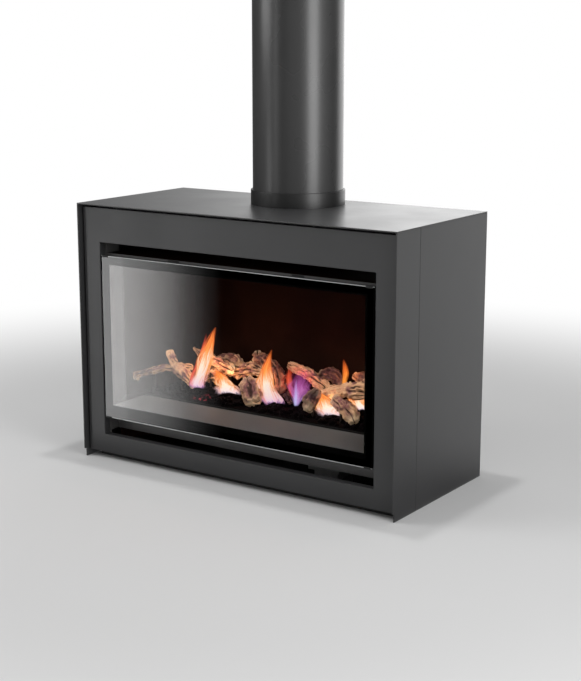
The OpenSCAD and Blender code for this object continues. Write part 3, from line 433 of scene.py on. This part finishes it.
BOARD_THICK = 0.003
COAL_COUNT = 460
HOT_SPOT, HOT_REACH = (-0.153, -0.08), 0.024
board_low, bed_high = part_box("ember_bed")
board_high = (bed_high[0], bed_high[1], board_low[2] + BOARD_THICK)
draw = random.Random(7)
work = bmesh.new()
glow_of = work.verts.layers.float.new("glow")
slab(work, board_low, board_high)
for coal in range(COAL_COUNT):
    size = draw.uniform(0.0045, 0.0085)
    x = draw.uniform(board_low[0] + size, board_high[0] - size)
    # The power strews more of them towards the front
    y = board_low[1] + size + (board_high[1] - board_low[1] - 2 * size) * draw.random() ** 1.3
    heat = max(0.0, 1 - math.dist((x, y), HOT_SPOT) / HOT_REACH)
    middle = Vector((x, y, board_high[2] + size * 0.35))
    tilt = Matrix.Rotation(draw.uniform(0, 6.3), 4, (draw.uniform(-1, 1), draw.uniform(-1, 1), 1))
    shape = Matrix.Diagonal((1.15, draw.uniform(0.75, 1.0), draw.uniform(0.6, 0.8), 1))
    made = bmesh.ops.create_icosphere(work, subdivisions=2, radius=size,
                                      matrix=Matrix.Translation(middle) @ tilt @ shape)
    for vert in made["verts"]:
        vert.co += (vert.co - middle) * 0.5 * noise.noise(vert.co * 160)
        vert.co.z = max(vert.co.z, board_high[2] - 0.0005)
        vert[glow_of] = heat * (draw.random() > 0.4)
ember = coat("ember_black", (0.0032, 0.0018, 0.0026), 0.85, grain=500, peel=0.5, drift=0.5, specular=0.06)
tree = ember.node_tree
shader = tree.nodes["Principled BSDF"]
lit = put(tree, "Attribute", attribute_name="glow").outputs["Fac"]
veins = mottle(tree, put(tree, "TexCoord").outputs["Object"], 150.0)
hot = reckon(tree, "MULTIPLY", lit, spread(tree, veins, 0.5, 0.62))
glow = grade(tree, hot, [(0.0, (0.0, 0.0, 0.0)), (0.4, (0.2, 0.02, 0.03)), (1.0, (0.6, 0.09, 0.1))])
tree.links.new(glow, shader.inputs["Emission Color"])
shader.inputs["Emission Strength"].default_value = 1.0
finish_piece("ember_coals", work, [ember], "casing", ["ember_bed"], crease=0.9)


# The driftwood. Thirteen cast ceramic fibre logs, painted by hand: pale wood with grain and cracks,
# purple-grey bark and broken ends. Painted shade darkens their dips and cracks, and a painted
# highlight lightens their raised lumps and ridges. Each lies on its pin and on the next.
def along(points, share):
    """The place and radius at a share of the way through points, on a smooth curve."""
    at = share * (len(points) - 1)
    step = min(int(at), len(points) - 2)
    t = at - step
    near = [Vector(points[max(0, min(len(points) - 1, step + k))]) for k in (-1, 0, 1, 2)]
    return 0.5 * (2 * near[1] + (near[2] - near[0]) * t
                  + (2 * near[0] - 5 * near[1] + 4 * near[2] - near[3]) * t * t
                  + (3 * near[1] - near[0] - 3 * near[2] + near[3]) * t * t * t)


def smooth(value, low, high):
    """0 below low, 1 above high, and smooth between them."""
    t = max(0.0, min(1.0, (value - low) / (high - low)))
    return t * t * (3 - 2 * t)


def drawn_out(spot, with_grain, over_grain):
    """spot, scaled along the grain, which is its x, and across it."""
    return Vector((spot.x * with_grain, spot.y * over_grain, spot.z * over_grain))


LOG_SIDES = 48
LOG_FLAT = 0.84
RING_STEP, END_CROWDING = 0.0016, 0.6
# Shares of the radius: how far an end rounds off, and how far the line wanders
END_ROUND, WANDER = 0.45, 0.22
# Heights as shares of the radius, and how close together they are
LUMPS = ((0.4, 30), (0.38, 78), (0.28, 170))
RIDGE_HEIGHT, CRACK_DEPTH, BARK_THICK = 0.009, 0.004, 0.001
THIN, PALE_REACH = 0.007, 0.006
LOG_SEED = 44
# Unseeded, the noise that the logs' lines wander by would follow the clock
noise.seed_set(LOG_SEED)


def limb(work, points, seed, bark, ends):
    """One length of driftwood along (x, y, z, radius) points in millimetres, wrapped from a grid. bark
    is how much of it there is, and ends are how pale the two ends are."""
    grain_of = work.verts.layers.float_vector["grain"]
    bark_of = work.verts.layers.float["bark"]
    relief_shading_of = work.verts.layers.float["relief_shading"]
    pale_of = work.verts.layers.float["pale"]
    offset = Vector((seed * 3.7, seed * 1.3, seed * 2.1))
    long = sum(math.dist(a[:3], b[:3]) for a, b in zip(points, points[1:])) / 1000
    rings = max(30, int(long / RING_STEP))
    line = []
    for number in range(rings + 1):
        share = number / rings
        # The rings crowd towards the two ends
        share -= END_CROWDING * math.sin(2 * math.pi * share) / (2 * math.pi)
        spot = along(points, share) / 1000
        wander = noise.noise_vector(Vector((share * long * 38, seed, 0))) * spot.w * WANDER
        line.append((share, spot.xyz + wander, spot.w))
    tangents = []
    for number in range(rings + 1):
        before, after = line[max(0, number - 1)][1], line[min(rings, number + 1)][1]
        tangents.append((after - before).normalized())
    side = tangents[0].orthogonal().normalized()
    sides = [side]
    for before, after in zip(tangents, tangents[1:]):
        side = side.copy()
        side.rotate(before.rotation_difference(after))
        sides.append(side.normalized())
    made = bmesh.ops.create_grid(work, x_segments=LOG_SIDES, y_segments=rings, size=0.5)["verts"]
    for vert in made:
        number = round((vert.co.y + 0.5) * rings)
        angle = (vert.co.x + 0.5) * 2 * math.pi
        share, spot, radius = line[number]
        across = sides[number]
        over = tangents[number].cross(across)
        run = share * long
        nearest = min(run, long - run)
        blunt = END_ROUND * radius
        full = radius
        if nearest < blunt:
            radius *= math.sqrt(max(0.0, 1 - (1 - nearest / blunt) ** 2))
        outward = across * math.cos(angle) + over * math.sin(angle) * LOG_FLAT
        skin = spot + outward * full
        grain = Vector((run * 22, math.cos(angle) * 1.6, math.sin(angle) * 1.6)) + offset
        lumps = sum(height * noise.noise(skin * scale + offset) for height, scale in LUMPS)
        ridge = 0.3 - abs(noise.noise(drawn_out(grain, 0.8, 1.5)))
        cover = smooth(noise.noise(skin * 48 + offset * 2) + bark, -0.06, 0.2)
        cover *= smooth(nearest, blunt * 0.4, blunt)
        crack = smooth(noise.noise(drawn_out(grain, 0.6, 2.1) + offset), 0.2, 0.34) * (1 - cover)
        # Thin ends stay smoother
        body = min(1.0, radius / THIN)
        radius *= 1 + lumps
        radius += body * (RIDGE_HEIGHT * ridge - CRACK_DEPTH * crack + BARK_THICK * cover)
        vert.co = spot + outward * radius
        if nearest < blunt:
            ragged = 0.5 * noise.noise(outward * 2.5 + offset) + 0.35 * noise.noise(outward * 6 + offset)
            vert.co += tangents[number] * ragged * full * (1 - nearest / blunt)
        vert[grain_of] = grain
        vert[bark_of] = cover
        # Painted shade and highlight by relief: low where the skin dips or cracks, high where it rises
        vert[relief_shading_of] = 1.2 * lumps + 1.8 * ridge - 1.2 * crack
        reach = PALE_REACH + 0.01 + 0.02 * abs(noise.noise(skin * 60))
        vert[pale_of] = max(ends[0] * (1 - smooth(run, PALE_REACH, reach)),
                            ends[1] * (1 - smooth(long - run, PALE_REACH, reach)))


# How much bark, how pale the two ends are, and each limb's points
WOOD = {
    "twig": (-0.3, (0.9, 0.3), [
        [(-352, -78, 171, 5), (-346, -74, 184, 7), (-318, -64, 192, 7), (-288, -54, 201, 8),
         (-250, -40, 207, 8), (-222, -26, 208, 7)]]),
    "bend": (-0.25, (0.4, 0.3), [
        [(-279, -38, 243, 6), (-270, -42, 227, 9), (-251, -48, 209, 12), (-226, -54, 196, 13),
         (-202, -58, 185, 11), (-186, -60, 178, 8)]]),
    "fork": (-0.25, (0.2, 0.8), [
        [(-253, 20, 242, 3), (-230, 16, 231, 7), (-190, 8, 225, 10), (-149, -2, 219, 11),
         (-116, -10, 212, 8)]]),
    "centre": (-0.1, (0.9, 0.2), [
        [(-216, 16, 174, 11), (-190, 18, 188, 16), (-155, 24, 201, 17), (-112, 16, 207, 17),
         (-70, 8, 217, 15), (-36, 0, 219, 12)],
        [(-206, 44, 217, 3), (-180, 40, 225, 7), (-150, 34, 226, 10), (-120, 28, 213, 8)]]),
    "stub": (0.3, (0.2, 0.5), [
        [(-52, -44, 205, 13), (-34, -56, 192, 20), (-18, -66, 178, 20), (-4, -77, 165, 11)]]),
    "upright": (-0.15, (0.6, 0.0), [
        [(-67, 18, 258, 6), (-58, 12, 246, 10), (-36, 4, 242, 13), (-8, -6, 231, 15), (12, -18, 209, 15),
         (26, -30, 184, 12)],
        [(-76, 16, 234, 5), (-62, 12, 240, 9), (-44, 6, 246, 8)]]),
    "charred": (0.5, (0.2, 0.0), [
        [(-25, 22, 229, 9), (7, 6, 203, 13), (32, -8, 181, 13), (56, -20, 163, 9)]]),
    "rear": (-0.2, (0.1, 0.3), [
        [(9, 34, 233, 6), (41, 26, 229, 10), (78, 16, 220, 12), (114, 6, 208, 12), (142, -2, 196, 10)]]),
    "top": (0.3, (0.5, 0.1), [
        [(84, 48, 214, 6), (106, 44, 221, 12), (136, 38, 216, 13), (158, 34, 202, 9)]]),
    "knot": (-0.2, (0.1, 0.4), [
        [(142, -30, 196, 9), (174, -34, 206, 12), (205, -38, 214, 14), (236, -42, 221, 18),
         (271, -48, 222, 17), (304, -54, 214, 11)]]),
    "front": (0.28, (0.3, 0.9), [
        [(190, -60, 202, 7), (214, -68, 193, 12), (242, -78, 180, 14), (264, -90, 165, 9)]]),
    "cone": (0.4, (0.1, 0.5), [
        [(150, -60, 214, 6), (143, -66, 200, 11), (137, -72, 184, 14), (139, -80, 167, 8)]]),
    "end": (0.0, (0.3, 0.2), [
        [(190, 24, 236, 7), (216, 16, 232, 12), (249, 8, 226, 14), (279, 2, 214, 9)]]),
}
BROKEN_END = (0.86, 0.68, 0.46, 1)
HOLLOW_PAINTED_SHADE = (0.03, 0.014, 0.014, 1)


def halfway(first, second):
    """The colour between two colours."""
    return [(a + b) / 2 for a, b in zip(first, second)]


def driftwood(name, pale, deep, bark_colour):
    """Painted ceramic fibre: streaked wood, mottled bark, painted shade in the dips, painted highlight on
    the raised parts.
    """
    material, tree = new_finish(name)
    shader = tree.nodes["Principled BSDF"]
    grain = put(tree, "Attribute", attribute_name="grain").outputs["Vector"]
    cover = put(tree, "Attribute", attribute_name="bark").outputs["Fac"]
    relief_shading = put(tree, "Attribute", attribute_name="relief_shading").outputs["Fac"]
    ends = put(tree, "Attribute", attribute_name="pale").outputs["Fac"]
    spot = put(tree, "TexCoord").outputs["Object"]
    streaks = put(tree, "Mapping", {"Vector": grain, "Scale": (0.7, 3.2, 3.2)}).outputs[0]
    streaks = mottle(tree, streaks, 3.0, 6.0, 0.6)
    wood = grade(tree, streaks, [(0.3, deep), (0.5, halfway(pale, deep)), (0.68, pale)])
    bark_shade = [part * 0.4 for part in bark_colour]
    blots = mottle(tree, spot, 75.0, 5.0)
    bark = grade(tree, blots, [(0.35, bark_shade), (0.55, bark_colour), (0.75, pale)])
    skin = mixed(tree, cover, wood, bark)
    blush = spread(tree, mottle(tree, spot, 45.0), 0.48, 0.66, 0.0, 0.6)
    skin = mixed(tree, blush, skin, (*bark_colour, 1))
    skin = mixed(tree, ends, skin, BROKEN_END)
    # Painted highlight on the raised parts, and painted shade in the dips and cracks
    painted_highlight = spread(tree, relief_shading, 0.12, 0.6, 0.0, 0.6)
    skin = mixed(tree, painted_highlight, skin, (*pale, 1))
    painted_shade = spread(tree, relief_shading, -0.08, -0.7, 0.0, 0.92)
    skin = mixed(tree, painted_shade, skin, HOLLOW_PAINTED_SHADE)
    fine = mottle(tree, spot, 420.0, 4.0)
    rough = put(tree, "Bump", {"Strength": 0.5, "Distance": 0.0008, "Height": fine})
    tree.links.new(skin, shader.inputs["Base Color"])
    tree.links.new(rough.outputs[0], shader.inputs["Normal"])
    shader.inputs["Roughness"].default_value = 0.8
    shader.inputs["Specular IOR Level"].default_value = 0.25
    return material


tan_wood = driftwood("tan_driftwood", (0.62, 0.42, 0.25), (0.31, 0.145, 0.085), (0.24, 0.11, 0.11))
brown_wood = driftwood("brown_driftwood", (0.38, 0.19, 0.12), (0.12, 0.045, 0.032), (0.11, 0.045, 0.05))
dark_wood = driftwood("charred_driftwood", (0.28, 0.15, 0.12), (0.055, 0.024, 0.024), (0.055, 0.026, 0.034))
BROWN_LOGS, CHARRED_LOGS = ("upright", "top", "end"), ("charred", "cone")
for number, (name, (bark, ends, limbs)) in enumerate(WOOD.items()):
    work = bmesh.new()
    work.verts.layers.float_vector.new("grain")
    for layer in ("bark", "relief_shading", "pale"):
        work.verts.layers.float.new(layer)
    for branch, points in enumerate(limbs):
        limb(work, points, number + 1 + branch * 20, bark + 0.45 * branch, ends)
    bmesh.ops.remove_doubles(work, verts=work.verts, dist=0.00002)
    bmesh.ops.recalc_face_normals(work, faces=work.faces)
    look, slot = tan_wood, "driftwood"
    if name in BROWN_LOGS:
        look = brown_wood
    if name in CHARRED_LOGS:
        look, slot = dark_wood, "charred_wood"
    finish_piece(f"driftwood_{name}", work, [look], "casing", [f"log_{name}"], crease=1.2)

# The flames. Thin sheets of burning gas that rise from the burner's two tube runs: violet at the
# foot, white and peach in the body, orange at the edge and the tip. Each throws its light on the
# logs round it.
FACING = math.radians(34)
SHEET_THICK = 0.0003


def flame(name, points, look, sway, seed, sheets=((-0.5, 1.0), (0.1, 0.92), (0.7, 0.85))):
    """Closed thin sheets that cross on one rising line of (x, y, z, half width) points in millimetres.
    A sheet is an angle and its share of the width and height."""
    work = bmesh.new()
    uv = work.loops.layers.uv.new("flame")
    for number, (angle, share) in enumerate(sheets):
        wide = Vector((math.cos(angle + FACING), math.sin(angle + FACING), 0))
        deep = Vector((-wide.y, wide.x, 0))
        made = bmesh.ops.create_grid(work, x_segments=12, y_segments=40, size=0.5)["verts"]
        faces = list(dict.fromkeys(face for vert in made for face in vert.link_faces))
        for face in faces:
            for loop in face.loops:
                loop[uv].uv = (loop.vert.co.x + 0.5, loop.vert.co.y + 0.5)
        for vert in made:
            u, v = vert.co.x * 2, vert.co.y + 0.5
            line = along(points, v * share) / 1000
            half = max(0.0003, along(points, v)[3] / 1000 * share)
            lean = sway / 1000 * math.sin(v * 4.2 + seed + number) * v
            flutter = noise.noise(Vector((u * 0.6, v * 3.2, seed + number * 5)))
            vert.co = line.xyz + wide * (u * half + lean + flutter * half * 0.4) + deep * (
                (1 - u * u) * half * 0.3 + flutter * half * 0.5)
        bmesh.ops.solidify(work, geom=faces, thickness=SHEET_THICK)
    finish_piece(name, work, [look], "casing", crease=3.2)


def burning(name, foot, body, edge, tip, strength, density, fade=0.72, core=0.3, ragged=1.4, full=0.45):
    """Light that thins out towards the sides, the foot and the tip of a sheet, with ragged edges. full is
    how far out it is at its densest."""
    material, tree = new_finish(name, bare=True)
    sheet = put(tree, "UVMap", uv_map="flame").outputs[0]
    place = put(tree, "SeparateXYZ", {"Vector": sheet}).outputs
    wisps = put(tree, "Mapping", {"Vector": sheet, "Scale": (5.0, 1.8, 1.0)}).outputs[0]
    torn = reckon(tree, "MULTIPLY_ADD", mottle(tree, wisps, 1.6, 3.0), ragged, -ragged / 2)
    across = reckon(tree, "ABSOLUTE", reckon(tree, "MULTIPLY_ADD", place["X"], 2.0, -1.0))
    across = reckon(tree, "ADD", across, torn)
    rise = reckon(tree, "ADD", place["Y"], reckon(tree, "MULTIPLY", torn, 0.35))
    inner = grade(tree, rise, [(0.0, foot), (0.1, halfway(foot, body)), (core, body), (0.7, edge),
                               (1.0, tip)])
    outer = grade(tree, rise, [(0.0, foot), (0.14, halfway(foot, edge)), (0.4, edge), (0.85, tip),
                               (1.0, tip)])
    colour = mixed(tree, spread(tree, across, 0.25, 0.75), inner, outer)
    cover = spread(tree, across, 0.98, full)
    cover = reckon(tree, "MULTIPLY", cover, spread(tree, rise, 1.0, fade, 0.15, 1.0))
    cover = reckon(tree, "MULTIPLY", cover, spread(tree, rise, 0.0, 0.12, 0.1, 1.0))
    cover = reckon(tree, "MULTIPLY", cover, density)
    light = put(tree, "Emission", {"Color": colour, "Strength": strength}).outputs[0]
    clear = put(tree, "BsdfTransparent").outputs[0]
    both = put(tree, "MixShader", {0: cover, 1: clear, 2: light}).outputs[0]
    put(tree, "OutputMaterial", {"Surface": both})
    return material


PEACH, ORANGE, RED = (1.0, 0.84, 0.64), (1.0, 0.36, 0.08), (1.0, 0.16, 0.03)
tall_flame = burning("tall_flame", (0.65, 0.35, 0.75), PEACH, ORANGE, RED, 1.2, 0.7, core=0.48)
low_flame = burning("low_flame", (0.9, 0.7, 0.85), (1.0, 0.85, 0.66), ORANGE, RED, 1.25, 0.7, core=0.4)
violet_flame = burning("violet_flame", (0.55, 0.5, 1.0), (0.62, 0.2, 0.55), (0.5, 0.1, 0.4),
                       (0.4, 0.06, 0.2), 1.0, 0.5, fade=0.2, ragged=1.8, full=0.1)
small_flame = burning("small_flame", (1.0, 0.45, 0.08), (1.0, 0.32, 0.05), (1.0, 0.2, 0.03),
                      (0.9, 0.12, 0.03), 1.15, 0.7, fade=0.4, ragged=1.8, full=-0.1)
red_flame = burning("red_flame", (0.8, 0.08, 0.15), (1.0, 0.14, 0.07), (1.0, 0.12, 0.05),
                    (0.8, 0.08, 0.04), 1.0, 0.42, fade=0.4, ragged=1.8, full=-0.1)
blue_heart = burning("blue_heart", (0.6, 0.6, 1.0), (0.6, 0.62, 1.0), (0.6, 0.5, 1.0), (0.6, 0.3, 0.8),
                     1.1, 0.4, fade=0.3, full=-0.2)
flame("flame_left", [(-173, -70, 174, 20), (-170, -70, 188, 24), (-161, -70, 214, 20),
                     (-150, -70, 246, 20), (-140, -70, 271, 15), (-130, -70, 298, 10),
                     (-118, -70, 322, 2)], tall_flame, 2, 1)
flame("flame_left_second", [(-162, -72, 232, 7), (-157, -72, 258, 8), (-150, -72, 282, 6),
                            (-144, -72, 306, 1)], red_flame, 2, 12)
flame("flame_left_tongue", [(-191, -72, 176, 8), (-185, -72, 202, 8), (-173, -72, 226, 7),
                            (-165, -72, 248, 5), (-160, -72, 262, 1)], red_flame, 2, 9)
flame("flame_left_low", [(-103, -44, 165, 38), (-106, -42, 176, 38), (-115, -40, 186, 27),
                         (-126, -38, 197, 18), (-137, -36, 207, 12), (-148, -34, 215, 3)],
      low_flame, 2, 2)
flame("flame_middle", [(24, -50, 162, 26), (19, -50, 174, 28), (8, -50, 197, 24), (4, -50, 215, 21),
                       (4, -50, 237, 14), (10, -50, 258, 10), (19, -50, 284, 2)], tall_flame, 2, 3)
flame("flame_violet", [(74, -30, 160, 6), (75, -30, 177, 14), (79, -30, 195, 25), (82, -30, 211, 31),
                       (84, -30, 225, 29), (86, -30, 246, 20)], violet_flame, 2, 4)
flame("flame_violet_heart", [(73, -34, 160, 5), (75, -34, 176, 8), (76, -34, 200, 7), (77, -34, 222, 2)],
      blue_heart, 1, 8, sheets=((0.0, 1.0), (0.8, 0.9)))
flame("flame_violet_edge", [(60, -26, 176, 4), (53, -26, 202, 9), (50, -26, 217, 9), (51, -26, 233, 8),
                            (52, -26, 250, 3)], red_flame, 1, 6)
flame("flame_back", [(184, -8, 216, 7), (185, -8, 232, 8), (186, -8, 248, 8), (184, -8, 262, 6),
                     (181, -8, 276, 1)], small_flame, 2, 5)
flame("flame_right_low", [(186, -56, 160, 36), (180, -55, 171, 38), (171, -55, 181, 30),
                          (163, -55, 191, 21), (156, -55, 200, 12), (151, -55, 209, 3)],
      low_flame, 2, 6)
flame("flame_right", [(254, -45, 182, 12), (248, -45, 193, 18), (241, -45, 205, 19), (236, -45, 218, 6)],
      low_flame, 2, 7)


def unseen(lamp):
    """Keeps the lamp itself out of the picture, the glass and the gloss."""
    lamp.visible_camera = False
    lamp.visible_transmission = False
    lamp.visible_glossy = False


def firelight(name, place, watts, colour):
    """The light that a flame throws on the logs round it."""
    data = bpy.data.lights.new(name, "POINT")
    data.energy = watts
    data.color = colour
    data.shadow_soft_size = 0.018
    lamp = bpy.data.objects.new(name, data)
    lamp.location = Vector(place) / 1000
    unseen(lamp)
    scene.collection.objects.link(lamp)


firelight("left_fire", (-160, -42, 226), 0.2, (1.0, 0.5, 0.26))
firelight("left_low_fire", (-112, -30, 196), 0.14, (1.0, 0.55, 0.3))
firelight("middle_fire", (2, -38, 214), 0.15, (1.0, 0.48, 0.25))
firelight("violet_fire", (70, -22, 226), 0.14, (1.0, 0.2, 0.17))
firelight("right_low_fire", (176, -50, 192), 0.14, (1.0, 0.55, 0.3))
firelight("back_fire", (186, 0, 250), 0.08, (1.0, 0.4, 0.15))
firelight("right_fire", (250, -40, 206), 0.06, (1.0, 0.42, 0.18))
# The light of all the flames together, from over and before the logs
lamp = softbox("logs_glow", (0, -0.155, 0.33), (0, -0.02, 0.18), 0.62, 0.08, 0.34, (1, 0.84, 0.72))
lamp.data.spread = math.radians(80)
unseen(lamp)

# The window. A slab of dark ceramic glass with a black border printed on its back, held by clips in a
# folded steel frame, with a woven rope seal behind that. Its top and bottom edges are frosted pale by
# grinding and made brighter still as a painted highlight; its side edges carry the black print as
# painted shade.
BORDER_SIDE, BORDER_LOW, BORDER_HIGH = 0.021, 0.03, 0.02
GLASS, BORDER, FROSTED_EDGE_HIGHLIGHT = 0, 1, 2
pane_low, pane_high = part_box("window_glass")
glass, tree = new_finish("dark_glass")
shader = tree.nodes["Principled BSDF"]
shader.inputs["Base Color"].default_value = (0.92, 0.91, 0.9, 1)
shader.inputs["Roughness"].default_value = 0.0
shader.inputs["IOR"].default_value = 1.5
shader.inputs["Transmission Weight"].default_value = 1.0
# The lamps shine straight through it
clear = put(tree, "BsdfTransparent", {"Color": (0.85, 0.84, 0.83, 1)}).outputs[0]
shade = put(tree, "LightPath").outputs["Is Shadow Ray"]
both = put(tree, "MixShader", {0: shade, 1: shader.outputs[0], 2: clear}).outputs[0]
tree.links.new(both, tree.nodes["Material Output"].inputs["Surface"])
border = coat("printed_border", (0.002, 0.002, 0.002), 0.9, grain=600, peel=0.0, drift=0.2, specular=0.0)
# Frosted by grinding, and pale enough to stand as a painted highlight along the edge
frosted_edge_highlight = coat("frosted_edge_painted_highlight", (0.72, 0.74, 0.74), 0.5, grain=2500, peel=0.3)
work = bmesh.new()
slab(work, pane_low, pane_high)
bmesh.ops.bevel(work, geom=list(work.edges), offset=0.0006, segments=2, profile=0.5, affect="EDGES",
                material=-1)
# The side edges take the black print as painted shade, and the top and bottom edges the pale frosted colour
# as a painted highlight
for face in work.faces:
    face.material_index = BORDER
    if abs(face.normal.y) > 0.99:
        face.material_index = GLASS
    elif abs(face.normal.z) > 0.3:
        face.material_index = FROSTED_EDGE_HIGHLIGHT
back = max(work.faces, key=lambda face: face.calc_area() * (face.normal.y > 0.99))
printed = bmesh.ops.inset_region(work, faces=[back], thickness=0.01)["faces"]
middle = (pane_low[2] + pane_high[2]) / 2
for vert in back.verts:
    vert.co.x = math.copysign(pane_high[0] - BORDER_SIDE, vert.co.x)
    vert.co.z = pane_low[2] + BORDER_LOW if vert.co.z < middle else pane_high[2] - BORDER_HIGH
for face in printed:
    face.material_index = BORDER
finish_piece("window_pane", work, [glass, border, frosted_edge_highlight], "window", ["window_glass"],
             smooth=False)
dress(coat("frame_black", (0.008, 0.008, 0.008), 0.6, grain=900, peel=0.15, specular=0.1), "window_frame")
dress(coat("rope_grey", (0.3, 0.29, 0.27), 0.9, grain=420, peel=0.9, drift=0.2), "window_gasket")

# The fascia. A flat steel frame with returned edges that hangs on four tongues in front of the
# front plate, in the casing's charcoal coat.
pressed("fascia_coated", "fascia", charcoal, edge=0.0013)
